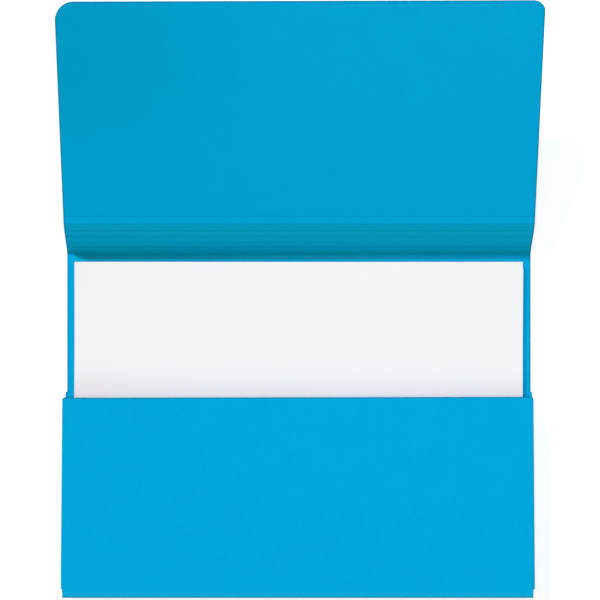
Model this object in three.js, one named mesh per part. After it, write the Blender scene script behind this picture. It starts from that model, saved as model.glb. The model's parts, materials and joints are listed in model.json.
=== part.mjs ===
import * as THREE from 'three';

// Card document wallet for A4 sheets, lying on its back with the flap folded open.
// Millimetres. X runs across the folder, Y from the pocket's bottom fold to the flap, Z up.
// The folder is one die-cut blank. Each stretch of card between two creases is a plate of its own,
// hung on its crease in a nested group, so that turning a group about its X axis folds the card there.

// A4 sheets in landscape, and the room that the folder gives them
const sheetWidth = 297;
const sheetLength = 210;
const sheetThickness = 0.1;
const sheetAirGap = 0.01;
const sheetCount = 20;
const sheetSideRoom = 5.5; // from a sheet's side to the folder's outer face
const sheetBottomRoom = 9.3; // from the sheets' lower edge to the bottom fold
const sheetTopRoom = 6.1; // from the sheets' upper edge to the first spine crease
const sheetClearance = 0.1; // between the glue tabs and the lowest sheet

// How the sheets of a knocked-up stack stray, and the one sheet that shows beside the top one
const strayShift = 0.12;
const strayTurn = 0.03; // degrees
const looseSheetFromTop = 1;
const looseSheetRight = -1.15;
const looseSheetDown = 3.1;
const looseSheetTurn = -0.35; // degrees

// Card, and the chamfer that die cutting and scoring leave along every edge of it
const cardThickness = 0.4;
const edgeChamfer = 0.08;
const foldClearance = 0.2; // extra room at a square fold, where two plates meet at 90 degrees

// Spine: strips between parallel creases. The bends are those of the open folder, base crease first,
// and the last one is the flap's own crease.
const spinePitch = 5;
const creaseBends = [37, 10, -1, -2, -6, -23, 1.2]; // degrees

// Flap
const flapLength = 138.3;
const flapLeftCorner = 12.2;
const flapRightCorner = 7.6;

// Pocket: front panel on three creased walls. Each wall has two strips that bow outward a little at
// rest and fold together outward when the pocket is pressed flat.
const pocketDepth = 131; // bottom fold to mouth
const pocketHeight = 17.1; // between the mid-planes of the back and the front
const mouthCorner = 2;
const wallLean = 5; // degrees from upright
const notchLength = 7; // open corner between the bottom fold and a side wall
const notchClearance = 0.6; // from a side wall's lower end to the ear beside it
const wallPoint = 2.8; // how far a side wall's foot runs past the mouth

// Glue tabs, folded inward from the side walls and stuck to the inside of the back
const tabWidth = 14;
const tabTaper = 6;
const glueThickness = 0.1;
const glueMargin = 2;

const folderWidth = sheetWidth + 2 * sheetSideRoom;
const backLength = sheetLength + sheetBottomRoom + sheetTopRoom;
const creaseInset = cardThickness / 2; // crease line to a plate's edge, at a shallow fold
const cornerInset = cardThickness / 2 + foldClearance; // the same at a square fold
const backMid = cardThickness / 2;
const tabMid = cardThickness + glueThickness + cardThickness / 2;
const wallPlane = folderWidth / 2 - cardThickness / 2; // mid-plane of an upright side wall
const radians = THREE.MathUtils.degToRad;

const cardMaterial = new THREE.MeshStandardMaterial({ color: 0x01a7dc, roughness: 0.62, metalness: 0 });
const sheetMaterial = new THREE.MeshStandardMaterial({ color: 0xf3f4f7, roughness: 0.85, metalness: 0 });
const glueMaterial = new THREE.MeshStandardMaterial({ color: 0xe9e4cf, roughness: 0.4, metalness: 0 });

// A straight-sided outline through the given corners
function polygon(corners) {
  return new THREE.Shape(corners.map(([x, y]) => new THREE.Vector2(x, y)));
}

// A card plate: an outline in X and Y, centred on its mid-plane, with every edge chamfered
function cardPlate(name, outline) {
  const geometry = new THREE.ExtrudeGeometry(outline, {
    depth: cardThickness - 2 * edgeChamfer,
    bevelThickness: edgeChamfer,
    bevelSize: edgeChamfer,
    bevelOffset: -edgeChamfer,
    bevelSegments: 1,
    curveSegments: 10,
  });
  geometry.translate(0, 0, edgeChamfer - cardThickness / 2);
  const mesh = new THREE.Mesh(geometry, cardMaterial);
  mesh.name = name;
  return mesh;
}

// A sheet or film with square edges, its underside at Z = 0
function flatFilm(name, outline, thickness, material) {
  const geometry = new THREE.ExtrudeGeometry(outline, { depth: thickness, bevelEnabled: false });
  const mesh = new THREE.Mesh(geometry, material);
  mesh.name = name;
  return mesh;
}

// A crease: a group at (y, z) of its parent, turned about X by the bend
function crease(parent, y, z, bend) {
  const group = new THREE.Group();
  group.position.set(0, y, z);
  group.rotation.x = radians(bend);
  parent.add(group);
  return group;
}

// A rectangle across the whole folder, between two distances from the crease it hangs on
function fullWidthStrip(low, high) {
  const half = folderWidth / 2;
  return polygon([[-half, low], [half, low], [half, high], [-half, high]]);
}

// The flap's outline: square at its crease, with the two free corners rounded
function flapOutline() {
  const half = folderWidth / 2;
  const outline = new THREE.Shape();
  outline.moveTo(-half, creaseInset);
  outline.lineTo(half, creaseInset);
  outline.lineTo(half, flapLength - flapRightCorner);
  outline.absarc(half - flapRightCorner, flapLength - flapRightCorner, flapRightCorner, 0, Math.PI / 2);
  outline.lineTo(flapLeftCorner - half, flapLength);
  outline.absarc(flapLeftCorner - half, flapLength - flapLeftCorner, flapLeftCorner, Math.PI / 2, Math.PI);
  return outline;
}

// The front panel's outline: an ear of full width beside each open corner notch, then the two side
// creases, and the mouth with its small rounded corners
function frontOutline() {
  const ear = folderWidth / 2;
  const earTop = notchLength - notchClearance;
  const side = wallPlane - cornerInset;
  const r = mouthCorner;
  const outline = new THREE.Shape();
  outline.moveTo(-ear, cornerInset);
  outline.lineTo(ear, cornerInset);
  outline.lineTo(ear, earTop);
  outline.lineTo(side, earTop);
  outline.lineTo(side, pocketDepth - r);
  outline.absarc(side - r, pocketDepth - r, r, 0, Math.PI / 2);
  outline.lineTo(r - side, pocketDepth);
  outline.absarc(r - side, pocketDepth - r, r, Math.PI / 2, Math.PI);
  outline.lineTo(-side, earTop);
  outline.lineTo(-ear, earTop);
  return outline;
}

// Length of one strip of a wall of the given height, crease to crease, so that the two leaning strips
// reach it. The middle crease turns on their inner faces, which adds a little height.
function wallStripLength(height) {
  const lean = radians(wallLean);
  return (height - cardThickness * Math.sin(lean)) / (2 * Math.cos(lean));
}

// The two strips of a wall, on a foot crease at height z of the given group. In the group, X runs
// along the wall and +Y points into the pocket. ends(h) gives the wall's two ends at height h.
// Returns the upper strip's group and the strip length, for what hangs on the wall's top.
function creasedWall(group, name, z, height, ends) {
  const length = wallStripLength(height);
  const stripOutline = (low, high, below) => {
    const [lowStart, lowEnd] = ends(below + low);
    const [highStart, highEnd] = ends(below + high);
    return polygon([[lowStart, low], [lowEnd, low], [highEnd, high], [highStart, high]]);
  };

  const foot = crease(group, 0, z, 90 + wallLean);
  foot.add(cardPlate(`${name}_wall_lower`, stripOutline(cornerInset, length - creaseInset, 0)));

  const middle = crease(foot, length, -cardThickness / 2, -2 * wallLean);
  const upper = cardPlate(`${name}_wall_upper`, stripOutline(creaseInset, length - cornerInset, length));
  upper.position.z = cardThickness / 2;
  middle.add(upper);
  return { middle, length };
}

// Back panel, flat on the table
function backPanel() {
  const back = new THREE.Group();
  const plate = cardPlate('back_panel', fullWidthStrip(cornerInset, backLength - creaseInset));
  plate.position.z = backMid;
  back.add(plate);
  return back;
}

// Spine strips and flap, each hung on the one before
function addSpineAndFlap(back) {
  let group = crease(back, backLength, backMid, creaseBends[0]);
  creaseBends.slice(1).forEach((bend, index) => {
    const outline = fullWidthStrip(creaseInset, spinePitch - creaseInset);
    group.add(cardPlate(`spine_strip_${index + 1}`, outline));
    group = crease(group, spinePitch, 0, bend);
  });
  group.add(cardPlate('flap', flapOutline()));
}

// Bottom wall across the whole width, with the front panel folded back over the pocket from its top
function addBottomWallAndFront(back) {
  const half = folderWidth / 2;
  const wall = creasedWall(back, 'bottom', backMid, pocketHeight, () => [-half, half]);
  const top = crease(wall.middle, wall.length, cardThickness / 2, wallLean - 90);
  top.add(cardPlate('pocket_front', frontOutline()));
}

// A side wall, its glue tab and the glue. side is +1 on the right and -1 on the left.
function addSideWall(back, side) {
  const name = side > 0 ? 'right' : 'left';
  const turned = new THREE.Group();
  turned.position.set(side * wallPlane, 0, 0);
  turned.rotation.z = side * Math.PI / 2;
  back.add(turned);

  // Along the wall, the turned group's X is the folder's +Y on the right and -Y on the left
  const span = (start, end) => (side > 0 ? [start, end] : [-end, -start]);
  const height = pocketHeight + backMid - tabMid;
  const end = (h) => pocketDepth + wallPoint * Math.max(0, 1 - (2 * h) / height);
  creasedWall(turned, name, tabMid, height, (h) => span(notchLength, end(h)));

  const [tabStart, tabEnd] = span(notchLength, pocketDepth + wallPoint);
  const tab = cardPlate(`${name}_glue_tab`, polygon([
    [tabStart, cornerInset], [tabEnd, cornerInset],
    [tabEnd - tabTaper, tabWidth], [tabStart + tabTaper, tabWidth],
  ]));
  tab.position.z = tabMid;
  turned.add(tab);

  const taperAtMargin = tabTaper + glueMargin;
  const glue = flatFilm(`${name}_glue`, polygon([
    [tabStart + glueMargin, cornerInset + glueMargin], [tabEnd - glueMargin, cornerInset + glueMargin],
    [tabEnd - taperAtMargin, tabWidth - glueMargin], [tabStart + taperAtMargin, tabWidth - glueMargin],
  ]), glueThickness, glueMaterial);
  glue.position.z = cardThickness;
  turned.add(glue);
}

// The stack of sheets on the back panel, lowest first. A few sines stand in for the way that a
// knocked-up stack strays, and one sheet near the top has slipped down and turned.
function addSheets(back) {
  const half = sheetWidth / 2;
  const bottom = tabMid + cardThickness / 2 + sheetClearance;
  for (let index = 0; index < sheetCount; index += 1) {
    const outline = polygon([[-half, 0], [half, 0], [half, sheetLength], [-half, sheetLength]]);
    const name = `sheet_${String(index + 1).padStart(2, '0')}`;
    const sheet = flatFilm(name, outline, sheetThickness, sheetMaterial);
    const fromTop = sheetCount - 1 - index;
    const loose = fromTop === looseSheetFromTop;
    const stray = fromTop === 0 ? 0 : 1;
    const right = loose ? looseSheetRight : stray * strayShift * Math.sin(2.4 * index);
    const up = loose ? -looseSheetDown : stray * strayShift * Math.sin(1.7 * index + 1);
    sheet.position.set(right, sheetBottomRoom + up, bottom + index * (sheetThickness + sheetAirGap));
    sheet.rotation.z = radians(loose ? looseSheetTurn : stray * strayTurn * Math.sin(3.1 * index + 2));
    back.add(sheet);
  }
}

const back = backPanel();
addSpineAndFlap(back);
addBottomWallAndFront(back);
addSideWall(back, -1);
addSideWall(back, 1);
addSheets(back);

// The origin is on the table, under the middle of the open folder
const folder = new THREE.Group();
folder.add(back);
const centre = new THREE.Box3().setFromObject(folder, true).getCenter(new THREE.Vector3());
back.position.y = -centre.y;
folder.updateMatrixWorld(true);

export default folder;
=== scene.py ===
import bisect
import json
import math

import bmesh
import bpy
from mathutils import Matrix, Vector, noise


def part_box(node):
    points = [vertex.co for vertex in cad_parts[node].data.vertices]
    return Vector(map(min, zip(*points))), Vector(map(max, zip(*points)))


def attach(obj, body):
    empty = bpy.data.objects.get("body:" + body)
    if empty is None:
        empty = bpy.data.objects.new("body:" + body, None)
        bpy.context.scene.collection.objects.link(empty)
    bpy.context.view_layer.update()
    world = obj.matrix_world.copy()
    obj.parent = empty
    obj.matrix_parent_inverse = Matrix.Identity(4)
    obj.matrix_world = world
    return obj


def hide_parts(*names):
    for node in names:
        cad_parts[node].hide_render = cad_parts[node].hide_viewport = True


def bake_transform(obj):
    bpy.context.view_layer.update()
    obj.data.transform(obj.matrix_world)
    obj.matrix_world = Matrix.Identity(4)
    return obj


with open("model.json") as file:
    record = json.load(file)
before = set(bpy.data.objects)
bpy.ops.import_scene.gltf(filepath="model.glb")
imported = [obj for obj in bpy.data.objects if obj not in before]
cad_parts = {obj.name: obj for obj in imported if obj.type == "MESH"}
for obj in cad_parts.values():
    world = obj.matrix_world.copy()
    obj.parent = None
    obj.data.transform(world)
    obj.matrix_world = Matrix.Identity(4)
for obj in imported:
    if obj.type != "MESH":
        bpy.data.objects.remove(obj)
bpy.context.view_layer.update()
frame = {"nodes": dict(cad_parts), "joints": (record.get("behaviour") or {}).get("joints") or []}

scene = bpy.context.scene
pivots = {j["name"]: Vector(j["pos_m"]) * 1000 for j in frame["joints"] if "pos_m" in j}


def ease(t):
    t = min(1.0, max(0.0, t))
    return t * t * (3 - 2 * t)


def newGroup(name, inputs, outputs):
    group = bpy.data.node_groups.new(name, "ShaderNodeTree")
    for label, kind, value in inputs:
        socket = group.interface.new_socket(label, in_out="INPUT", socket_type=kind)
        socket.default_value = value
    for label, kind in outputs:
        group.interface.new_socket(label, in_out="OUTPUT", socket_type=kind)
    return group, group.nodes.new("NodeGroupInput"), group.nodes.new("NodeGroupOutput")


def noiseNode(tree, vector, scale, detail, rough):
    node = tree.nodes.new("ShaderNodeTexNoise")
    node.inputs["Scale"].default_value = scale
    node.inputs["Detail"].default_value = detail
    node.inputs["Roughness"].default_value = rough
    tree.links.new(vector, node.inputs["Vector"])
    return node.outputs["Fac"]


def mathNode(tree, operation, first, second=0.0):
    node = tree.nodes.new("ShaderNodeMath")
    node.operation = operation
    for socket, value in zip(node.inputs, (first, second)):
        if isinstance(value, (int, float)):
            socket.default_value = value
        else:
            tree.links.new(value, socket)
    return node.outputs[0]


def rangeNode(tree, value, fromLow, fromHigh, toLow, toHigh):
    node = tree.nodes.new("ShaderNodeMapRange")
    tree.links.new(value, node.inputs["Value"])
    ends = {"From Min": fromLow, "From Max": fromHigh, "To Min": toLow, "To Max": toHigh}
    for label, number in ends.items():
        node.inputs[label].default_value = number
    return node.outputs["Result"]


def mixColour(tree, factor, first, second, blendType="MIX"):
    node = tree.nodes.new("ShaderNodeMix")
    node.data_type = "RGBA"
    node.blend_type = blendType
    if isinstance(factor, float):
        node.inputs[0].default_value = factor
    else:
        tree.links.new(factor, node.inputs[0])
    tree.links.new(first, node.inputs[6])    # the node's two colour sockets
    tree.links.new(second, node.inputs[7])
    return node.outputs[2]


def swing(tree, value, amount):
    # the rise and fall of a noise about its middle
    return mathNode(tree, "MULTIPLY", mathNode(tree, "SUBTRACT", value, 0.5), amount)


pulp = dict(
    grain=(0.22, 1.0, 1.0),   # fibres are drawn out along the width
    cloud=(55, 5, 0.6),       # scale, detail and roughness of each noise
    felt=(420, 4, 0.6),
    fibre=(2600, 3, 0.65),
    speck=(1900, 1, 0.4),
    speckFrom=0.70,
    speckTo=0.76,
    roughSwing=0.22,
    fibreHeight=0.6,
    feltHeight=0.4,
    relief=0.6,
)


def makeFibreGroup():
    # pulp formation, long fibres along the grain and small flecks, for card and office paper alike
    group, entry, leave = newGroup("pulpFibres", [
        ("Colour", "NodeSocketColor", (0.8, 0.8, 0.8, 1)),
        ("Fleck", "NodeSocketColor", (0.9, 0.9, 0.9, 1)),
        ("Cloud", "NodeSocketFloat", 0.03),
        ("Fibre", "NodeSocketFloat", 0.03),
        ("Flecks", "NodeSocketFloat", 0.3),
        ("Roughness", "NodeSocketFloat", 0.6),
    ], [("Colour", "NodeSocketColor"), ("Roughness", "NodeSocketFloat"), ("Height", "NodeSocketFloat")])
    place = group.nodes.new("ShaderNodeTexCoord").outputs["Object"]
    grain = group.nodes.new("ShaderNodeMapping")
    grain.inputs["Scale"].default_value = pulp["grain"]
    group.links.new(place, grain.inputs["Vector"])
    cloud = noiseNode(group, place, *pulp["cloud"])
    felt = noiseNode(group, place, *pulp["felt"])
    fibre = noiseNode(group, grain.outputs["Vector"], *pulp["fibre"])
    speck = noiseNode(group, place, *pulp["speck"])
    speckShown = rangeNode(group, speck, pulp["speckFrom"], pulp["speckTo"], 0.0, 1.0)
    speckMask = mathNode(group, "MULTIPLY", speckShown, entry.outputs["Flecks"])
    cloudPart = swing(group, cloud, entry.outputs["Cloud"])
    feltPart = swing(group, felt, entry.outputs["Fibre"])
    fibrePart = swing(group, fibre, entry.outputs["Fibre"])
    tone = mathNode(group, "ADD", mathNode(group, "ADD", cloudPart, feltPart),
                    mathNode(group, "ADD", fibrePart, 1.0))
    shade = group.nodes.new("ShaderNodeCombineColor")
    for channel in ("Red", "Green", "Blue"):
        group.links.new(tone, shade.inputs[channel])
    toned = mixColour(group, 1.0, entry.outputs["Colour"], shade.outputs["Color"], "MULTIPLY")
    group.links.new(mixColour(group, speckMask, toned, entry.outputs["Fleck"]), leave.inputs["Colour"])
    rough = mathNode(group, "ADD", entry.outputs["Roughness"], swing(group, felt, pulp["roughSwing"]))
    group.links.new(rough, leave.inputs["Roughness"])
    height = mathNode(group, "ADD", mathNode(group, "MULTIPLY", fibre, pulp["fibreHeight"]),
                      mathNode(group, "MULTIPLY", felt, pulp["feltHeight"]))
    group.links.new(height, leave.inputs["Height"])
    return group


wearAndShade = dict(
    masks=dict(LightAndShade="paintedLightAndShade", Soiled="paintedShade", Score="scoreLine", Fold="squareFold", Edge="cutEdge"),
    evenly=("LightAndShade", "Soiled"),
    broken=(700, 3, 0.6),            # scale, detail and roughness of each noise
    brokenRange=(0.35, 0.65, 0.45, 1.0),
    even=(160, 3, 0.6),
    evenRange=(0.3, 0.7, 0.9, 1.0),
)


def makeWearAndShadeGroup():
    # the mesh carries five masks: worked and soiled are even tints that bring tones nearer the photo's, and
    # score lines, square folds and cut edges show broken fibres. Two are even tints: painted light, lighter
    # and greener, on the spine, which on the sheets is a warm painted shade; and painted shade near the base
    # crease, beside the sheets, on the flap and above the bottom fold.
    # Three are broken: score lines darker, pressed fibres with painted shade in their grooves; square folds
    # lighter, worn fibres with a painted highlight; cut edges darker, painted shade
    plain = (0.8, 0.8, 0.8, 1)
    inputs = [("Colour", "NodeSocketColor", plain)]
    inputs += [(f"{label} colour", "NodeSocketColor", plain) for label in wearAndShade["masks"]]
    inputs += [(label, "NodeSocketFloat", 0.0) for label in wearAndShade["masks"]]
    group, entry, leave = newGroup("cutScoreLightAndShade", inputs, [("Colour", "NodeSocketColor")])
    place = group.nodes.new("ShaderNodeTexCoord").outputs["Object"]
    broken = rangeNode(group, noiseNode(group, place, *wearAndShade["broken"]), *wearAndShade["brokenRange"])
    even = rangeNode(group, noiseNode(group, place, *wearAndShade["even"]), *wearAndShade["evenRange"])
    colour = entry.outputs["Colour"]
    for label, attribute in wearAndShade["masks"].items():
        reader = group.nodes.new("ShaderNodeAttribute")
        reader.attribute_name = attribute
        texture = even if label in wearAndShade["evenly"] else broken
        mask = mathNode(group, "MULTIPLY", mathNode(group, "MULTIPLY", reader.outputs["Fac"], texture),
                        entry.outputs[label])
        colour = mixColour(group, mask, colour, entry.outputs[f"{label} colour"])
    group.links.new(colour, leave.inputs["Colour"])
    return group


fibreGroup = makeFibreGroup()
wearAndShadeGroup = makeWearAndShadeGroup()

# each entry below is a colour and how much of it shows, for wear and for painted light and shade; what isn't
# named there doesn't show
finishes = {
    "blueCard": dict(colour=(0.0003, 0.386, 0.716, 1), fleck=(0.01, 0.45, 0.78, 1), cloud=0.07, fibre=0.13,
                     flecks=0.4, rough=0.62, specular=0.1, tint=(0.05, 0.6, 1.0, 1), relief=0.00004,
                     # painted light, lighter and greener, on the spine
                     wornAndPainted=dict(LightAndShade=((0.0, 0.465, 0.745, 1), 1.0),
                               # painted shade
                               Soiled=((0.0, 0.218, 0.285, 1), 1.0),
                               # score lines darker: pressed fibres with painted shade in their grooves
                               Score=((0.0, 0.29, 0.50, 1), 0.75),
                               # a lighter line at square folds: worn fibres with a painted highlight
                               Fold=((0.02, 0.46, 0.62, 1), 0.7),
                               # a darker rim at cut edges: painted shade
                               Edge=((0.0, 0.19, 0.36, 1), 1.0))),
    "whitePaper": dict(colour=(0.913, 0.914, 0.935, 1), fleck=(0.88, 0.88, 0.90, 1), cloud=0.008, fibre=0.014,
                       flecks=0.3, rough=0.85, specular=0.2, tint=(1, 1, 1, 1), relief=0.00001,
                       # painted shade with a warm tone, beside the pocket's mouth
                       wornAndPainted=dict(LightAndShade=((0.917, 0.832, 0.842, 1), 1.0))),
    "driedGlue": dict(colour=(0.82, 0.78, 0.63, 1), fleck=(0.72, 0.66, 0.48, 1), cloud=0.14, fibre=0.05,
                      flecks=0.5, rough=0.38, specular=0.5, tint=(1, 1, 1, 1), relief=0.00002, wornAndPainted={}),
}


def makeFinish(name, values):
    material = bpy.data.materials.new(name)
    material.use_nodes = True
    tree = material.node_tree
    shader = tree.nodes["Principled BSDF"]
    fibres = tree.nodes.new("ShaderNodeGroup")
    fibres.node_tree = fibreGroup
    marks = tree.nodes.new("ShaderNodeGroup")
    marks.node_tree = wearAndShadeGroup
    for label, key in (("Colour", "colour"), ("Fleck", "fleck"), ("Cloud", "cloud"), ("Fibre", "fibre"),
                       ("Flecks", "flecks"), ("Roughness", "rough")):
        fibres.inputs[label].default_value = values[key]
    for label, (tone, amount) in values["wornAndPainted"].items():
        marks.inputs[f"{label} colour"].default_value = tone
        marks.inputs[label].default_value = amount
    tree.links.new(fibres.outputs["Colour"], marks.inputs["Colour"])
    tree.links.new(marks.outputs["Colour"], shader.inputs["Base Color"])
    tree.links.new(fibres.outputs["Roughness"], shader.inputs["Roughness"])
    bump = tree.nodes.new("ShaderNodeBump")
    bump.inputs["Strength"].default_value = pulp["relief"]
    bump.inputs["Distance"].default_value = values["relief"]
    tree.links.new(fibres.outputs["Height"], bump.inputs["Height"])
    tree.links.new(bump.outputs["Normal"], shader.inputs["Normal"])
    shader.inputs["Specular IOR Level"].default_value = values["specular"]
    shader.inputs["Specular Tint"].default_value = values["tint"]
    return material


materials = {name: makeFinish(name, values) for name, values in finishes.items()}
print("finishes made:", ", ".join(materials))


# lengths from here to the pocket's end are in millimetres
card = dict(
    thickness=0.4,
    halfWidth=154.0,
    edgeRound=0.12,      # rounding of a cut edge
    roundSteps=(0.18, 0.5, 1.0),
    cornerShare=0.3,     # inset of the vertex beside each corner, as a share of the rounding
    foldTrim=0.45,       # from a crease to where the card is straight again
    squareTrim=0.62,     # the same at a square fold
    creaseSteps=(0, 0.12, 0.25, 0.38, 0.52, 0.7, 0.95, 1.4, 2.0),
    closest=0.015,       # two stations stay at least this far apart
    slack=1e-6,
    scoreDepth=0.19,
    shallowScore=0.13,   # where the flap begins
    ridge=0.3,           # how much of a score's depth shows as a ridge on the other side
    scoreWidth=0.38,
    foldLineWidth=0.5,     # width of the lighter line at a square fold
    rimFull=0.35,        # the painted shade on the rim of a cut edge is full up to here
    rimInset=0.6,
    rimShare=0.75,       # and has this share left at rimInset
    edgeFade=1.15,       # where it ends
    edgeInset=2.2,
    evenInset=5.0,       # from here inwards the columns are evenly spaced
    columns=44,
    sharpAngle=40,
)


def makePath(points, trims):
    # the folded line that a stretch of card follows, as a function of the length along it
    points = [Vector(p) for p in points]
    lengths = [(b - a).length for a, b in zip(points, points[1:])]
    starts = [0.0]
    for length in lengths:
        starts.append(starts[-1] + length)

    def at(s):
        for k in range(1, len(points) - 1):
            trim = trims[k - 1]
            if abs(s - starts[k]) < trim:
                into = (points[k] - points[k - 1]).normalized()
                out = (points[k + 1] - points[k]).normalized()
                t = (s - starts[k] + trim) / (2 * trim)
                first, last = points[k] - into * trim, points[k] + out * trim
                place = first * (1 - t) ** 2 + points[k] * 2 * t * (1 - t) + last * t * t
                along = into.lerp(out, t).normalized()
                return place, along
        k = min(len(lengths) - 1, max(0, bisect.bisect_right(starts, s) - 1))
        along = (points[k + 1] - points[k]).normalized()
        return points[k] + along * (s - starts[k]), along

    return at, starts


def stationsAlong(length, creases, coarse, freeStart, freeEnd):
    # places along the path: close together at creases and at free edges, far apart elsewhere
    marks = {0.0, length}
    steps = max(2, round(length / coarse))
    marks.update(length * n / steps for n in range(steps + 1))
    for crease in creases:
        for d in card["creaseSteps"]:
            marks.update((crease - d, crease + d))
    edgeSteps = [share * card["edgeRound"] for share in card["roundSteps"]]
    edgeSteps += [card["rimInset"], card["edgeFade"], card["edgeInset"]]
    for free, end, inward in ((freeStart, 0.0, 1), (freeEnd, length, -1)):
        if free:
            marks.update(end + inward * d for d in edgeSteps)
    ordered = sorted(m for m in marks if -card["slack"] <= m <= length + card["slack"])
    kept = [ordered[0]]
    for m in ordered[1:]:
        if m - kept[-1] > card["closest"]:
            kept.append(m)
    return kept


def cardSkin(name, points, trims, limits, place, inner, scores, freeStart=False, freeEnd=False,
             coarse=6.0, extra=(), warp=None, columns=None, paintedLight=None, shadeMask=None, square=(),
             squareShift=0.0, scoreTone=1.0, rim=1.0):
    # a stretch of card with thickness, bent along its path; its faces, edges and masks follow place and limits
    at, starts = makePath(points, trims)
    length = starts[-1]
    creases = starts[1:-1]
    half = card["thickness"] / 2
    r = card["edgeRound"]
    columns = columns or card["columns"]
    marks = sorted(set(stationsAlong(length, creases, coarse, freeStart, freeEnd)) | set(extra))
    mesh = bmesh.new()
    masks = {label: mesh.verts.layers.float.new(label)
             for label in ("cutEdge", "scoreLine", "squareFold", "paintedLightAndShade", "paintedShade")}
    insets = (r, card["rimInset"], card["edgeFade"], card["edgeInset"])
    fade = (rim, card["rimShare"] * rim, 0.0, 0.0)
    count = columns + 1 + 2 * len(insets)
    rings = []
    for s in marks:
        point, along = at(s)
        normal = Vector((-along.y, along.x)) * inner
        low, high = limits(s, length)
        away = min(s if freeStart else math.inf, length - s if freeEnd else math.inf)
        h = half if away >= r else half - r + math.sqrt(max(0.0, r * r - (r - away) ** 2))
        endEdge = 1.0 - ease((away - card["rimFull"]) / (card["edgeFade"] - card["rimFull"]))
        sink = 0.0
        scored = 0.0
        for k, depth in enumerate(scores):
            d = s - creases[k]
            pressed = math.exp(-(d / card["scoreWidth"]) ** 2)
            sink += depth * pressed
            scored = max(scored, pressed if depth else 0.0)
        folded = max((math.exp(-((s - creases[k] - squareShift) / card["foldLineWidth"]) ** 2) for k in square),
                     default=0.0)
        backSink = sink * card["ridge"] if sink > 0 else sink
        ring = []

        def add(u, offset, edge):
            lift = offset - (sink if offset > 0 else backSink) + (warp(u, s, length) if warp else 0.0)
            spot = point + normal * lift
            vert = mesh.verts.new(Vector(place(u, spot.x, spot.y, s, length)) / 1000)
            vert[masks["cutEdge"]] = max(edge, endEdge)
            vert[masks["scoreLine"]] = scored * scoreTone
            vert[masks["squareFold"]] = folded
            vert[masks["paintedLightAndShade"]] = paintedLight(s, u) if paintedLight else 0.0
            vert[masks["paintedShade"]] = shadeMask(s, u) if shadeMask else 0.0
            ring.append(vert)

        inside = card["evenInset"]
        across = [(low + d, f) for d, f in zip(insets, fade)]
        across += [(low + inside + (high - low - 2 * inside) * n / columns, 0.0) for n in range(columns + 1)]
        across += [(high - d, f) for d, f in zip(reversed(insets), reversed(fade))]
        nearCorner = card["cornerShare"] * r
        slight, full = nearCorner * h / half, r * h / half
        for u, edge in across:
            add(u, h, edge)
        add(high - nearCorner, h - slight, rim)
        add(high, h - full, rim)
        add(high, -h + full, rim)
        add(high - nearCorner, -h + slight, rim)
        for u, edge in reversed(across):
            add(u, -h, edge)
        add(low + nearCorner, -h + slight, rim)
        add(low, -h + full, rim)
        add(low, h - full, rim)
        add(low + nearCorner, h - slight, rim)
        rings.append(ring)
    for first, second in zip(rings, rings[1:]):
        for k in range(len(first)):
            n = (k + 1) % len(first)
            mesh.faces.new((first[k], first[n], second[n], second[k]))
    for ring in (rings[0], rings[-1]):
        top, right = ring[:count], ring[count:count + 4]
        bottom, left = ring[count + 4:2 * count + 4], ring[2 * count + 4:]
        for k in range(count - 1):
            mesh.faces.new((top[k], top[k + 1], bottom[count - 2 - k], bottom[count - 1 - k]))
        mesh.faces.new([top[-1]] + right + [bottom[0]])
        mesh.faces.new([bottom[-1]] + left + [top[0]])
    bmesh.ops.recalc_face_normals(mesh, faces=mesh.faces)
    for face in mesh.faces:
        face.smooth = True
    data = bpy.data.meshes.new(name)
    mesh.to_mesh(data)
    mesh.free()
    data.set_sharp_from_angle(angle=math.radians(card["sharpAngle"]))
    piece = bpy.data.objects.new(name, data)
    scene.collection.objects.link(piece)
    data.materials.append(materials["blueCard"])
    return piece


def acrossFolder(u, p, q, s, length):
    return (u, p, q)


def fullWidth(s, length):
    return (-card["halfWidth"], card["halfWidth"])


def halfway(a, b):
    return tuple(x + (y - x) * 0.5 for x, y in zip(a, b))


def asPoint(p):
    return (0.0, p[0], p[1])


def shareAcross(u):
    # 0 at the left edge and 1 at the right
    return 0.5 + 0.5 * u / card["halfWidth"]


def blendAt(piece, crease):
    # crease is a point on the card's middle; the piece's transform is baked into its mesh
    crease = Vector(crease)
    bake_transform(piece)


pocket = dict(
    footRun=3.0,         # the strip of back beside the bottom fold that the fold's piece takes along
    stripLean=5,         # degrees that the walls' strips bow outward
    notchEnd=-184.9,     # the side walls stop here, short of the bottom fold
    turnReach=0.6,
    midReach=0.32,
    midTrim=0.3,
    midScore=-0.08,      # the middle creases stand out a little
    coarse=2,
    lean=-0.93,          # how far the pocket's top lies to the left
)
foot = (pivots["pocket_press"].y, pivots["pocket_press"].z)
topFold = (pivots["front_fold"].y, pivots["front_fold"].z)
stripTilt = math.tan(math.radians(pocket["stripLean"]))
stripMiddle = (foot[0] - (topFold[1] - foot[1]) / 2 * stripTilt, (foot[1] + topFold[1]) / 2)
joinBack = (foot[0] + pocket["footRun"], foot[1])


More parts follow.
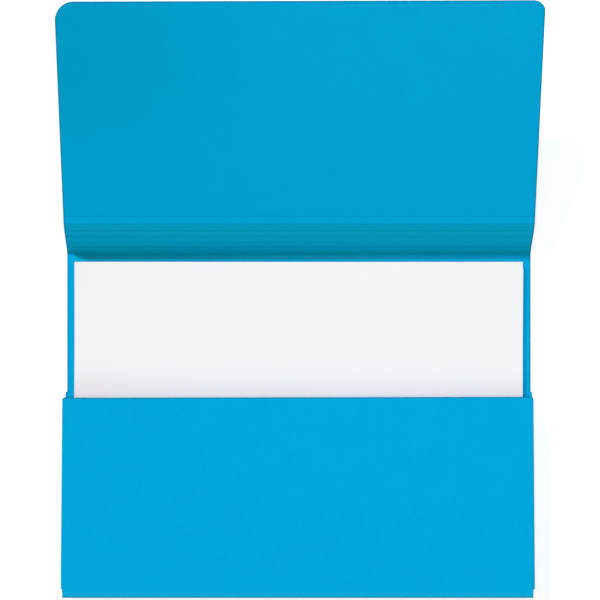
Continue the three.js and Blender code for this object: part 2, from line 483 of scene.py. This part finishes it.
spine = dict(
    creases=["base_crease", "spine_crease_2", "spine_crease_3", "spine_crease_4", "spine_crease_5",
             "spine_crease_6", "flap_crease"],
    bodies=["back", "spine_1", "spine_2", "spine_3", "spine_4", "spine_5", "spine_6", "flap"],
    strips=6,
    pitch=5.0,
    turnReach=0.5,
    coarse=0.8,
    # painted light: the spine's card is drawn lighter and greener
    paintedLight=0.9,
    paintedLightFade=0.6,      # how soon the painted light begins past the base crease
    waneFrom=2.1,        # at the last strip's end it gives way to the flap's
    waneFade=0.8,
)
back = dict(
    coarse=12,
    columns=88,
    shadeStep=0.6,       # stations for the darkening beside the base crease
    shadeSteps=range(3, 13),
)
flap = dict(
    leftCorner=12.2,
    rightCorner=8.05,
    rightAcross=7.6,     # the right corner is wider along the flap than across
    cornerStep=6,        # degrees
    length=138.97,
    rise=1.6,            # degrees that the flap bends from the last strip
    skew=0.45,
    coarse=6,
    ripple=0.12,
    rippleFrom=6,
    rippleFade=40,
    rippleAcross=70,
    rippleAlong=55,
    rippleSeed=3.7,
    scoreTone=0.15,
    # a little of the spine's painted light
    paintedLight=0.15,
    # painted shade, darker towards the far left corner and a little all over the flap
    dulled=0.285,
    dulledAll=0.1,       # share of it that is everywhere
    dulledNear=0.2,      # share of the rest near the crease
    dulledLeft=175,
    dulledAcross=190,
    dulledFrom=35,
    dulledAlong=65,
)
middle = [(pivots[name].y, pivots[name].z) for name in spine["creases"]]


# painted shade where the spine's shading and shadow fall: on the lower spine and on the back beside the base
# crease, with fainter lines higher up and beside the sheets; a painted darkening near the base crease, in
# place of shading in the photo that the lights here don't give; it isn't known whether the card is soiled
# there
shade = dict(
    left=dict(onBack=0.96, reach=7.3, fade=4.6, onSpine=0.62),
    right=dict(onBack=0.52, reach=3.4, fade=2.2, onSpine=0.49),
    crease=0.35,         # more of it in the base crease itself
    creaseWidth=0.3,
    climb=4.7,           # how far up the spine it has mostly gone
    film=0.08,           # a little over the first two strips
    filmEnd=9.6,
    flapLine=0.18,       # a faint line before the flap's crease
    flapLineAt=23.8,
    flapLineWidth=0.5,
    most=1.05,
    wedgeSlope=2.2,      # spares a wedge at the back's left end, along the edge of a shadow in the photo
    wedgeFade=4.0,
    beside=0.1,          # the strip left of the sheets
    besideFrom=6.0,
)


def shadeOn(side, distance):
    # distance runs along the card from the base crease, below zero on the back
    if distance < 0:
        return side["onBack"] * ease((distance + side["reach"]) / side["fade"])
    return side["onSpine"] * math.exp(-(distance / shade["climb"]) ** 2)


def shadedBy(distance, u):
    # strongest where the spine meets the back, and on the back it reaches further on the left
    share = shareAcross(u)
    amount = shadeOn(shade["left"], distance) * (1 - share) + shadeOn(shade["right"], distance) * share
    amount += shade["crease"] * math.exp(-(distance / shade["creaseWidth"]) ** 2)
    if distance < 0:
        fromWedge = u + card["halfWidth"] + shade["wedgeSlope"] * distance
        return min(shade["most"], amount) * ease(fromWedge / shade["wedgeFade"])
    amount += shade["film"] * (1 - ease(distance - shade["filmEnd"]))
    amount += shade["flapLine"] * math.exp(-((distance - shade["flapLineAt"]) / shade["flapLineWidth"]) ** 2)
    return min(shade["most"], amount)


def shadedBack(distance, u):
    # the strips beside the sheets are a little darker, the left one more
    if distance > -shade["besideFrom"]:
        return shadedBy(distance, u)
    return max(shadedBy(distance, u), shade["beside"] * (1 - shareAcross(u)))


def paintedLightOnStrip(k, s):
    # painted light: the spine is lighter and a little greener than the rest of the card, where its slopes turn
    # from the lamps;
    # the last strip's end gives it up to the flap's smaller share
    if k < spine["strips"] - 1:
        return spine["paintedLight"]
    waned = ease((s - spine["waneFrom"]) / spine["waneFade"])
    return spine["paintedLight"] - (spine["paintedLight"] - flap["paintedLight"]) * waned


backRun = middle[0][0] - joinBack[0]
backCard = cardSkin("back_card", [joinBack, middle[0], halfway(middle[0], middle[1])],
                    [card["foldTrim"]], fullWidth, acrossFolder, 1, scores=[card["scoreDepth"]],
                    coarse=back["coarse"], columns=back["columns"],
                    extra=[backRun - back["shadeStep"] * n for n in back["shadeSteps"]],
                    paintedLight=lambda s, u: spine["paintedLight"] * ease((s - backRun) / spine["paintedLightFade"]),
                    shadeMask=lambda s, u: shadedBack(s - backRun, u))
blendAt(backCard, asPoint(middle[0]))
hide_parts("back_panel")

for k in range(1, spine["strips"]):
    before, after = halfway(middle[k - 1], middle[k]), halfway(middle[k], middle[k + 1])
    strip = cardSkin(f"spine_fold_{k + 1}", [before, middle[k], after], [card["foldTrim"]], fullWidth,
                     acrossFolder, 1, scores=[card["scoreDepth"]], coarse=spine["coarse"],
                     paintedLight=lambda s, u, k=k: paintedLightOnStrip(k, s),
                     shadeMask=lambda s, u, k=k: shadedBy(spine["pitch"] * (k - 0.5) + s, u))
    blendAt(strip, asPoint(middle[k]))
    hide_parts(f"spine_strip_{k}")

lastBend = Vector(middle[6]) - Vector(middle[5])
slope = math.atan2(lastBend.y, lastBend.x) + math.radians(flap["rise"])
flapEdge = (middle[6][0] + flap["length"] * math.cos(slope), middle[6][1] + flap["length"] * math.sin(slope))


def flapLimits(s, length):
    low, high = -card["halfWidth"], card["halfWidth"]
    left = flap["leftCorner"] - (length - s)
    right = flap["rightCorner"] - (length - s)
    if left > 0:
        low += flap["leftCorner"] - math.sqrt(max(0.0, flap["leftCorner"] ** 2 - left ** 2))
    if right > 0:
        high -= max(0.0, flap["rightAcross"] - math.sqrt(max(0.0, flap["rightCorner"] ** 2 - right ** 2)))
    return (low, high)


def acrossFlap(u, p, q, s, length):
    # the far edge is cut a little out of square
    return (u, p + flap["skew"] * (u / card["halfWidth"]) * (s / length), q)


def shadedCorner(s, u):
    # painted shade: the flap is darker and duller towards its far left corner; the photo is duller
    # towards the far left corner, by the card's dye or by the lens, which isn't known
    across = 1.0 - ease((u + flap["dulledLeft"]) / flap["dulledAcross"])
    along = flap["dulledNear"] + (1 - flap["dulledNear"]) * ease((s - flap["dulledFrom"]) / flap["dulledAlong"])
    return flap["dulled"] * (flap["dulledAll"] + (1 - flap["dulledAll"]) * across * along)


def flapWarp(u, s, length):
    # a large sheet of card is never quite flat: it ripples a little
    place = Vector((u / flap["rippleAcross"], s / flap["rippleAlong"], flap["rippleSeed"]))
    return ease((s - flap["rippleFrom"]) / flap["rippleFade"]) * flap["ripple"] * noise.noise(place)


flapRun = spine["pitch"] / 2 + flap["length"]
arcMarks = [flapRun - radius * (1 - math.sin(math.radians(a)))
            for radius in (flap["leftCorner"], flap["rightCorner"]) for a in range(0, 90, flap["cornerStep"])]
flapCard = cardSkin("flap_card", [halfway(middle[5], middle[6]), middle[6], flapEdge], [card["foldTrim"]],
                    flapLimits, acrossFlap, 1, scores=[card["shallowScore"]], freeEnd=True,
                    coarse=flap["coarse"], extra=arcMarks, warp=flapWarp,
                    paintedLight=lambda s, u: flap["paintedLight"], shadeMask=shadedCorner, scoreTone=flap["scoreTone"])
blendAt(flapCard, asPoint(middle[6]))
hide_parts("spine_strip_6", "flap")
print("back, spine and flap made")


def leaned(q):
    # the pocket leans a little to the left
    return pocket["lean"] * max(0.0, q - foot[1]) / (topFold[1] - foot[1])


def acrossPocket(u, p, q, s, length):
    return (u + leaned(q), p, q)


bottomFoot = cardSkin("bottom_fold_card", [joinBack, foot, halfway(foot, stripMiddle)], [card["squareTrim"]],
                      fullWidth, acrossPocket, -1, scores=[0.0], coarse=pocket["coarse"], square=[0])
blendAt(bottomFoot, asPoint(foot))
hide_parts("bottom_wall_lower")

bottomPath = [halfway(foot, stripMiddle), stripMiddle, halfway(stripMiddle, topFold)]
bottomWall = cardSkin("bottom_wall_card", bottomPath, [pocket["midTrim"]], fullWidth, acrossPocket, -1,
                      scores=[pocket["midScore"]], coarse=pocket["coarse"])
blendAt(bottomWall, asPoint(stripMiddle))
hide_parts("bottom_wall_upper")


front = dict(
    coarse=6,
    mouthCorner=2.0,
    cornerStep=10,       # degrees
    mouthSkew=0.33,
    squareAt=0.3,        # where across the front the skewed mouth meets the square one
    sag=0.12,
    sagFrom=12,
    sagFade=30,
    sagAcross=80,
    sagAlong=60,
    sagSeed=9.1,
    notchInset=0.6,      # the front is narrower where the side walls begin
    notchFade=0.25,
    notchSteps=(-0.05, 0, 0.12, 0.3),
    foldSteps=(1.15, 1.65, 1.85, 2.15, 2.5),
    # the lighter line of the bottom fold, worn fibres with a painted highlight, lies this far onto the front
    foldLineShift=1.5,
    rim=0.12,
    shaded=0.5,          # painted shade: a dark line just above the bottom fold, where the fold turns away
    shadedAt=0.6,
    shadedWidth=0.4,
)
mouthY = (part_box("pocket_front")[1] * 1000).y
mouth = (mouthY, topFold[1])


def acrossFront(u, p, q, s, length):
    # the mouth is cut a little out of square
    skew = front["mouthSkew"] * (u / card["halfWidth"] - front["squareAt"]) * ease(s / length)
    return (u + leaned(q), p + skew, q)


def frontLimits(s, length):
    half = card["halfWidth"]
    y = mouthY - (length - s)
    if y > pocket["notchEnd"]:
        half -= front["notchInset"] * ease((y - pocket["notchEnd"]) / front["notchFade"])
    near = front["mouthCorner"] - (length - s)
    if near > 0:
        half -= front["mouthCorner"] - math.sqrt(max(0.0, front["mouthCorner"] ** 2 - near ** 2))
    return (-half, half)


def frontWarp(u, s, length):
    inside = ease((s - front["sagFrom"]) / front["sagFade"])
    inside *= ease((card["halfWidth"] - abs(u)) / front["sagFade"])
    place = Vector((u / front["sagAcross"], s / front["sagAlong"], front["sagSeed"]))
    return -inside * front["sag"] * (1 + noise.noise(place))


foldRun = (Vector(topFold) - Vector(stripMiddle)).length / 2
frontRun = (Vector(mouth) - Vector(topFold)).length + foldRun
notchMark = frontRun - (mouthY - pocket["notchEnd"])
frontMarks = [frontRun - front["mouthCorner"] * (1 - math.sin(math.radians(a)))
              for a in range(0, 90, front["cornerStep"])]
frontMarks += [notchMark + d for d in front["notchSteps"]]
frontMarks += [foldRun + d for d in front["foldSteps"]]


def shadedFront(s, u):
    return front["shaded"] * math.exp(-((s - foldRun - front["shadedAt"]) / front["shadedWidth"]) ** 2)


frontCard = cardSkin("pocket_front_card", [halfway(stripMiddle, topFold), topFold, mouth], [card["squareTrim"]],
                     frontLimits, acrossFront, -1, scores=[0.0], freeEnd=True, coarse=front["coarse"],
                     square=[0], squareShift=front["foldLineShift"], rim=front["rim"], extra=frontMarks,
                     warp=frontWarp, shadeMask=shadedFront)
blendAt(frontCard, asPoint(topFold))
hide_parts("pocket_front")


wall = dict(
    mouthEnd=-60.2,
    footHeight=0.7,      # middle of the card in the glue tab
    tab=14.0,
    tabTaper=6.0,
    toe=3.7,             # how far the toe runs past the wall's end
    toeHeight=0.9,
    toePower=4,
    toeSteps=(0.6, 0.7, 0.8, 0.88, 0.93, 0.96, 0.98, 0.992, 1.0),
    toeFlare=0.85,
    flareFrom=3.2,
    flareRun=1.9,
    flareFade=2.2,
    bow=0.95,            # the top bows outward towards the bottom
    bowRun=118,
    bowFrom=0.4,
    bowRise=2.6,
    bowEnd=0.75,
    topTrim=0.42,
    topEnd=153.36,       # where the folded top ends on the front
    topCoarse=0.6,
    columns=30,
    rim=0.3,
    blendAlong=-120.0,   # a place along the wall, for its blends
)


def wallEnd(z):
    # the foot of the lower strip ends in a low rounded toe that runs past the mouth
    share = min(1.0, max(0.0, (z - wall["footHeight"]) / wall["toeHeight"]))
    return wall["mouthEnd"] + wall["toe"] * (1 - share ** wall["toePower"]) ** (1 / wall["toePower"])


def wallPoint(p):
    return (p[0], wall["blendAlong"], p[1])


def wallLimits(base):
    # for a strip whose path begins at the height base
    return lambda s, length: (pocket["notchEnd"], wallEnd(base + s))


def tabLimits(s, length):
    low, high = pocket["notchEnd"], wallEnd(wall["footHeight"])
    if s < wall["tab"]:
        taper = wall["tabTaper"] * (1 - s / wall["tab"])
        return (low + taper, high - taper)
    return (low, wallEnd(wall["footHeight"] + (s - wall["tab"])))


def alongWall(u, p, q, s, length):
    return (p + leaned(q - wall["footHeight"] + foot[1]), u, q)


toeMarks = [wall["tab"] + wall["toeHeight"] * share for share in wall["toeSteps"]]
for side, word in ((-1, "left"), (1, "right")):
    press, fold = pivots[f"{word}_wall_foot"], pivots[f"{word}_wall_fold"]
    topZ = topFold[1]
    tabEnd = (press.x - side * wall["tab"], press.z)
    wallFoot = (press.x, press.z)
    wallMiddle = (press.x + side * (topZ - press.z) / 2 * stripTilt, fold.z)
    wallTop = (press.x, topZ)
    frontEdge = (side * wall["topEnd"], topZ)
    lowerHalf = halfway(wallFoot, wallMiddle)
    upperHalf = halfway(wallMiddle, wallTop)

    def alongFoot(u, p, q, s, length, side=side):
        # near the mouth nothing holds the toe upright, so it leans outwards
        rise = max(0.0, q - wall["footHeight"])
        flare = wall["toeFlare"] * rise * ease((u - wall["mouthEnd"] + wall["flareFrom"]) / wall["flareRun"])
        flare *= 1.0 - ease((rise - wall["toeHeight"]) / wall["flareFade"])
        return (p + side * flare + leaned(rise + foot[1]), u, q)

    def bowedWall(u, p, q, s, length, side=side):
        swell = ease((s - wall["bowFrom"]) / wall["bowRise"]) * ease((length - s) / wall["bowEnd"])
        bow = wall["bow"] * min(1.0, max(0.0, (wall["mouthEnd"] - u) / wall["bowRun"]))
        return (p + side * bow * swell + leaned(q - wall["footHeight"] + foot[1]), u, q)

    footCard = cardSkin(f"{word}_wall_foot_card", [tabEnd, wallFoot, lowerHalf], [card["squareTrim"]],
                        tabLimits, alongFoot, side, scores=[0.0], freeStart=True, coarse=pocket["coarse"],
                        columns=wall["columns"], extra=toeMarks, rim=wall["rim"])
    blendAt(footCard, wallPoint(wallFoot))
    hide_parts(f"{word}_glue_tab", f"{word}_wall_lower")

    wallCard = cardSkin(f"{word}_wall_card", [lowerHalf, wallMiddle, upperHalf], [pocket["midTrim"]],
                        wallLimits(lowerHalf[1]), alongWall, side, scores=[pocket["midScore"]],
                        coarse=pocket["coarse"], columns=wall["columns"], rim=wall["rim"])
    blendAt(wallCard, wallPoint(wallMiddle))
    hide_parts(f"{word}_wall_upper")

    topCard = cardSkin(f"{word}_wall_top_card", [upperHalf, wallTop, frontEdge], [wall["topTrim"]],
                       wallLimits(upperHalf[1]), bowedWall, side, scores=[0.0], coarse=wall["topCoarse"],
                       columns=wall["columns"], rim=wall["rim"])
    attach(topCard, f"{word}_upper")
print("pocket made")


# lengths from here on are in metres
paper = dict(
    width=0.297,
    length=0.210,
    thickness=0.0001,
    columns=34,
    rows=24,
    wave=0.00035,
    waveScale=9.0,
    waveDetail=1.0,
    seed=4.0,
    lift=0.0006,
    liftPower=6.0,
    liftFrom=0.85,       # share of the stack's height above which the far corners lift
    liftFade=0.15,
    weld=0.00001,
    looseTurn=0.2,       # a sheet turned by more degrees than this lies loose
    looseShift=0.00021,
    stray=0.1,           # how much of the CAD sheets' sideways stray is kept
    stackShift=(-0.00022, 0.0003),
    # painted shade on the sheets near the pocket's mouth
    tintFrom=-0.044,
    tintTo=-0.055,
    tint=0.64,
    tintTilt=0.1,        # more of it on the left
    tintEnds=0.3,        # and more towards both ends
    tintPower=3,
)


def makeSheetTree():
    # one office sheet: a thin closed slab that undulates with the whole stack and lifts at its far corners
    tree = bpy.data.node_groups.new("officeSheet", "GeometryNodeTree")
    sockets = {}
    for label, kind, value in (("Width", "NodeSocketFloat", paper["width"]),
                               ("Length", "NodeSocketFloat", paper["length"]),
                               ("Thickness", "NodeSocketFloat", paper["thickness"]),
                               ("Columns", "NodeSocketInt", paper["columns"]),
                               ("Rows", "NodeSocketInt", paper["rows"]),
                               ("Wave", "NodeSocketFloat", 0.0),
                               ("Wave scale", "NodeSocketFloat", paper["waveScale"]),
                               ("Lift", "NodeSocketFloat", 0.0),
                               ("Seed", "NodeSocketFloat", paper["seed"]),
                               ("Material", "NodeSocketMaterial", None)):
        socket = tree.interface.new_socket(label, in_out="INPUT", socket_type=kind)
        if value is not None:
            socket.default_value = value
        sockets[label] = socket.identifier
    tree.interface.new_socket("Geometry", in_out="OUTPUT", socket_type="NodeSocketGeometry")
    make = tree.nodes.new
    link = tree.links.new
    entry, leave = make("NodeGroupInput"), make("NodeGroupOutput")

    grid = make("GeometryNodeMeshGrid")
    link(entry.outputs["Width"], grid.inputs["Size X"])
    link(entry.outputs["Length"], grid.inputs["Size Y"])
    link(entry.outputs["Columns"], grid.inputs["Vertices X"])
    link(entry.outputs["Rows"], grid.inputs["Vertices Y"])
    position = make("GeometryNodeInputPosition")
    split = make("ShaderNodeSeparateXYZ")
    link(position.outputs[0], split.inputs[0])
    ripple = make("ShaderNodeTexNoise")
    ripple.noise_dimensions = "4D"
    link(position.outputs[0], ripple.inputs["Vector"])
    link(entry.outputs["Seed"], ripple.inputs["W"])
    link(entry.outputs["Wave scale"], ripple.inputs["Scale"])
    ripple.inputs["Detail"].default_value = paper["waveDetail"]
    wave = mathNode(tree, "MULTIPLY", ripple.outputs["Fac"], entry.outputs["Wave"])
    across = mathNode(tree, "ABSOLUTE", mathNode(tree, "DIVIDE", split.outputs["X"], entry.outputs["Width"]))
    up = mathNode(tree, "DIVIDE", split.outputs["Y"], entry.outputs["Length"])
    fromMiddle = mathNode(tree, "MAXIMUM", mathNode(tree, "MULTIPLY", up, 2.0), 0.0)
    cornerX = mathNode(tree, "POWER", mathNode(tree, "MULTIPLY", across, 2.0), paper["liftPower"])
    cornerY = mathNode(tree, "POWER", fromMiddle, paper["liftPower"])
    lift = mathNode(tree, "MULTIPLY", mathNode(tree, "MULTIPLY", cornerX, cornerY), entry.outputs["Lift"])
    offset = make("ShaderNodeCombineXYZ")
    link(mathNode(tree, "ADD", wave, lift), offset.inputs["Z"])
    shaped = make("GeometryNodeSetPosition")
    link(grid.outputs["Mesh"], shaped.inputs["Geometry"])
    link(offset.outputs[0], shaped.inputs["Offset"])
    thicken = make("GeometryNodeExtrudeMesh")
    thicken.inputs["Individual"].default_value = False
    upward = make("ShaderNodeCombineXYZ")
    upward.inputs["Z"].default_value = 1.0
    link(upward.outputs[0], thicken.inputs["Offset"])
    link(shaped.outputs[0], thicken.inputs["Mesh"])
    link(entry.outputs["Thickness"], thicken.inputs["Offset Scale"])
    flip = make("GeometryNodeFlipFaces")
    link(shaped.outputs[0], flip.inputs["Mesh"])
    join = make("GeometryNodeJoinGeometry")
    link(thicken.outputs["Mesh"], join.inputs[0])
    link(flip.outputs[0], join.inputs[0])
    merge = make("GeometryNodeMergeByDistance")
    merge.inputs["Distance"].default_value = paper["weld"]
    link(join.outputs[0], merge.inputs["Geometry"])
    realize = make("GeometryNodeRealizeInstances")
    link(merge.outputs[0], realize.inputs[0])
    finish = make("GeometryNodeSetMaterial")
    link(realize.outputs[0], finish.inputs["Geometry"])
    link(entry.outputs["Material"], finish.inputs["Material"])
    link(finish.outputs[0], leave.inputs[0])
    return tree, sockets


def shadeByMouth(spot):
    # painted shade on the sheets beside the pocket's mouth, more on the left and at both ends;
    # its warm tone also offsets the blue light that the card throws on them; a painted warm tint that
    # offsets the blue light of the card on the sheets, which the photo doesn't show
    aside = spot.x / (paper["width"] / 2)
    amount = paper["tint"] - paper["tintTilt"] * aside
    amount += paper["tintEnds"] * abs(aside) ** paper["tintPower"]
    return ease((spot.y - paper["tintFrom"]) / (paper["tintTo"] - paper["tintFrom"])) * amount


sheetTree, sheetSockets = makeSheetTree()
sheetNodes = sorted(n for n in frame["nodes"] if n.startswith("sheet_"))
for index, node in enumerate(sheetNodes):
    spots = [v.co.copy() for v in frame["nodes"][node].data.vertices]
    lowLeft = min(spots, key=lambda p: p.x + p.y)
    lowRight = max(spots, key=lambda p: p.x - p.y)
    highRight = max(spots, key=lambda p: p.x + p.y)
    middleX, middleY = (lowLeft.x + highRight.x) / 2, (lowLeft.y + highRight.y) / 2
    turn = math.atan2(lowRight.y - lowLeft.y, lowRight.x - lowLeft.x)
    loose = abs(turn) > math.radians(paper["looseTurn"])
    middleX = middleX + paper["looseShift"] if loose else middleX * paper["stray"]
    middleX += paper["stackShift"][0]
    middleY += paper["stackShift"][1]
    baseZ = min(p.z for p in spots)
    share = index / (len(sheetNodes) - 1)
    blank = bpy.data.objects.new(f"blank_{node}", bpy.data.meshes.new(f"blank_{node}"))
    scene.collection.objects.link(blank)
    modifier = blank.modifiers.new("sheet", "NODES")
    modifier.node_group = sheetTree
    modifier[sheetSockets["Wave"]] = paper["wave"] * share
    modifier[sheetSockets["Lift"]] = paper["lift"] * ease((share - paper["liftFrom"]) / paper["liftFade"])
    modifier[sheetSockets["Material"]] = materials["whitePaper"]
    bpy.context.view_layer.update()
    made = bpy.data.meshes.new_from_object(blank.evaluated_get(bpy.context.evaluated_depsgraph_get()))
    bpy.data.objects.remove(blank)
    made.name = f"paper_{node}"
    tinted = made.attributes.new("paintedLightAndShade", "FLOAT", "POINT")
    for v in made.vertices:
        v.co = Vector((middleX + v.co.x * math.cos(turn) - v.co.y * math.sin(turn),
                       middleY + v.co.x * math.sin(turn) + v.co.y * math.cos(turn), baseZ + v.co.z))
        tinted.data[v.index].value = shadeByMouth(v.co)
    for polygon in made.polygons:
        polygon.use_smooth = True
    made.set_sharp_from_angle(angle=math.radians(card["sharpAngle"]))
    sheet = bpy.data.objects.new(f"paper_{node[-2:]}", made)
    scene.collection.objects.link(sheet)
    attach(sheet, "sheets")
    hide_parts(node)
print("sheets made:", len(sheetNodes))


for node in ("left_glue", "right_glue"):
    slots = frame["nodes"][node].data.materials
    if len(slots):
        slots[0] = materials["driedGlue"]
    else:
        slots.append(materials["driedGlue"])


studio = dict(
    floorHalf=3.0,
    floorDrop=0.0001,
    floorTone=0.80,
    floorLift=0.43,      # glow that only the camera sees, from farFrom to farTo
    farLift=0.9,
    farFrom=0.4,
    farTo=1.6,
    skyLevel=0.19,
    keyLevel=1.71,
    keySpread=3.0,
    keyHeight=32.2,      # degrees, as are the spreads and the lamps' turns
    keyAside=32.5,
    fillLevel=0.21,
    fillSpread=35.0,
    fillHeight=50.0,
    fillAside=180.0,
    boxPower=12.4,
    boxSize=0.6,
    boxPlace=(0.10, 0.07, 1.6),
    cameraHeight=1.0,
    cameraX=-0.011,
    cameraY=0.0042,
    centreX=0.00073,
    spanAtTable=0.39895,
    sensor=36.0,
    clipNear=0.05,
    clipFar=20.0,
)

wide, drop = studio["floorHalf"], studio["floorDrop"]
floorCorners = [(-wide, -wide, -drop), (wide, -wide, -drop), (wide, wide, -drop), (-wide, wide, -drop)]
floorMesh = bpy.data.meshes.new("floor")
floorMesh.from_pydata(floorCorners, [], [(0, 1, 2, 3)])
floor = bpy.data.objects.new("floor", floorMesh)
scene.collection.objects.link(floor)
floorMaterial = bpy.data.materials.new("paleFloor")
floorMaterial.use_nodes = True
floorTree = floorMaterial.node_tree
floorTree.nodes.clear()
floorOut = floorTree.nodes.new("ShaderNodeOutputMaterial")
floorDiffuse = floorTree.nodes.new("ShaderNodeBsdfDiffuse")
floorDiffuse.inputs["Color"].default_value = (studio["floorTone"],) * 3 + (1,)
floorGlow = floorTree.nodes.new("ShaderNodeEmission")
floorGlow.inputs["Color"].default_value = (1, 1, 1, 1)
floorPath = floorTree.nodes.new("ShaderNodeLightPath")
floorPlace = floorTree.nodes.new("ShaderNodeTexCoord").outputs["Object"]
floorReach = floorTree.nodes.new("ShaderNodeVectorMath")
floorReach.operation = "LENGTH"
floorTree.links.new(floorPlace, floorReach.inputs[0])
floorShine = rangeNode(floorTree, floorReach.outputs["Value"], studio["farFrom"], studio["farTo"],
                       studio["floorLift"], studio["farLift"])
floorTree.links.new(mathNode(floorTree, "MULTIPLY", floorPath.outputs["Is Camera Ray"], floorShine),
                    floorGlow.inputs["Strength"])
floorAdd = floorTree.nodes.new("ShaderNodeAddShader")
floorTree.links.new(floorDiffuse.outputs[0], floorAdd.inputs[0])
floorTree.links.new(floorGlow.outputs[0], floorAdd.inputs[1])
floorTree.links.new(floorAdd.outputs[0], floorOut.inputs["Surface"])
floorMesh.materials.append(floorMaterial)

world = bpy.data.worlds.new("studio")
scene.world = world
world.use_nodes = True
worldTree = world.node_tree
worldTree.nodes.clear()
worldOut = worldTree.nodes.new("ShaderNodeOutputWorld")
worldLight = worldTree.nodes.new("ShaderNodeBackground")
worldLight.inputs["Color"].default_value = (1, 1, 1, 1)
worldPath = worldTree.nodes.new("ShaderNodeLightPath")
worldSeen = rangeNode(worldTree, worldPath.outputs["Is Camera Ray"], 0, 1, studio["skyLevel"], 1.0)
worldTree.links.new(worldSeen, worldLight.inputs["Strength"])
worldTree.links.new(worldLight.outputs[0], worldOut.inputs["Surface"])

for name in ("key", "fill"):
    lamp = bpy.data.lights.new(name, "SUN")
    lamp.energy = studio[f"{name}Level"]
    lamp.angle = math.radians(studio[f"{name}Spread"])
    lampObject = bpy.data.objects.new(name, lamp)
    scene.collection.objects.link(lampObject)
    height, aside = math.radians(studio[f"{name}Height"]), math.radians(studio[f"{name}Aside"])
    level = math.cos(height)
    toLight = Vector((-math.sin(aside) * level, math.cos(aside) * level, math.sin(height)))
    lampObject.rotation_mode = "QUATERNION"
    lampObject.rotation_quaternion = toLight.to_track_quat("Z", "Y")

box = bpy.data.lights.new("softBox", "AREA")
box.shape = "SQUARE"
box.size = studio["boxSize"]
box.energy = studio["boxPower"]
boxLamp = bpy.data.objects.new("softBox", box)
scene.collection.objects.link(boxLamp)
boxLamp.location = studio["boxPlace"]
boxLamp.rotation_mode = "QUATERNION"
boxLamp.rotation_quaternion = Vector(studio["boxPlace"]).to_track_quat("Z", "Y")
boxLamp.visible_camera = False

camera = bpy.data.cameras.new("overhead")
camera.sensor_width = studio["sensor"]
camera.lens = studio["sensor"] * studio["cameraHeight"] / studio["spanAtTable"]
camera.shift_x = (studio["centreX"] - studio["cameraX"]) / studio["spanAtTable"]
camera.clip_start, camera.clip_end = studio["clipNear"], studio["clipFar"]
cameraObject = bpy.data.objects.new("overhead", camera)
scene.collection.objects.link(cameraObject)
cameraObject.location = (studio["cameraX"], studio["cameraY"], studio["cameraHeight"])
scene.camera = cameraObject
scene.view_settings.view_transform = "Standard"
print("floor, light and camera made")
